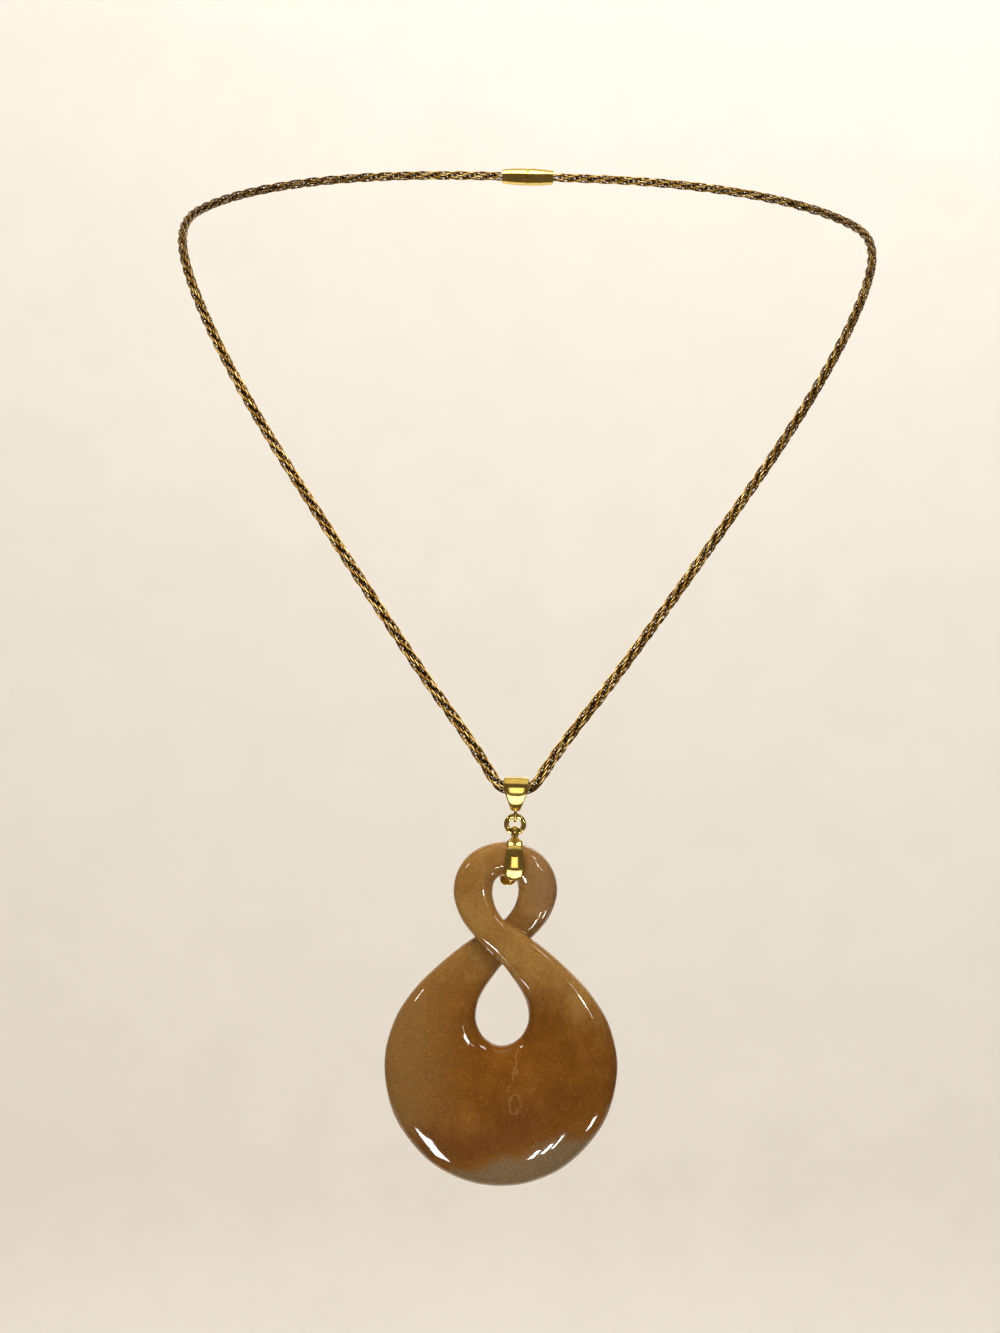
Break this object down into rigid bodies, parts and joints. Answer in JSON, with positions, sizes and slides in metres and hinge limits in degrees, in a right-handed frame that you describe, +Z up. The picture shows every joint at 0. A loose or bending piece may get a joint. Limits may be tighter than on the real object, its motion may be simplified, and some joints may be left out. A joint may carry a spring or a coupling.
{
  "type": "pendant necklace",
  "caption": "Rope-chain necklace with a folded bail, a jump ring and a pinch bail that grips a carved figure-eight twist stone.",
  "frame": {"origin": "middle of the clasp, where the chain lies on the nape of the neck", "axes": "+Z up, the wearer faces -Y, +X is the right-hand side seen from the front; the bails hang plumb at x = 0, and the stone's own axis is 1.2 mm beside them on the -X side"},
  "size_m": [0.126, 0.1244, 0.1759],
  "materials": {
    "gold_chain": "polished gold-coloured rope chain",
    "gold_polished": "polished gold-coloured sheet and wire",
    "aventurine": "polished translucent honey-brown quartz"
  },
  "bodies": {
    "necklace": {"rope_chain": "gold_chain", "clasp": "gold_polished"},
    "bail": {"taper_bail": "gold_polished"},
    "ring": {"jump_ring": "gold_polished"},
    "drop": {"pinch_bail": "gold_polished", "stone": "aventurine"}
  },
  "joints": [
    {"name": "bail_swing", "type": "hinge", "parent": "necklace", "child": "bail", "pos_m": [0, -0.119, -0.1145], "axis": [-1, 0, 0], "range_deg": [-45, 75]},
    {"name": "ring_sway", "type": "hinge", "parent": "bail", "child": "ring", "pos_m": [0, -0.119, -0.11834], "axis": [0, 1, 0], "range_deg": [-18, 18]},
    {"name": "drop_swing", "type": "hinge", "parent": "ring", "child": "drop", "pos_m": [0, -0.119, -0.12094], "axis": [-1, 0, 0], "range_deg": [-45, 45]}
  ]
}
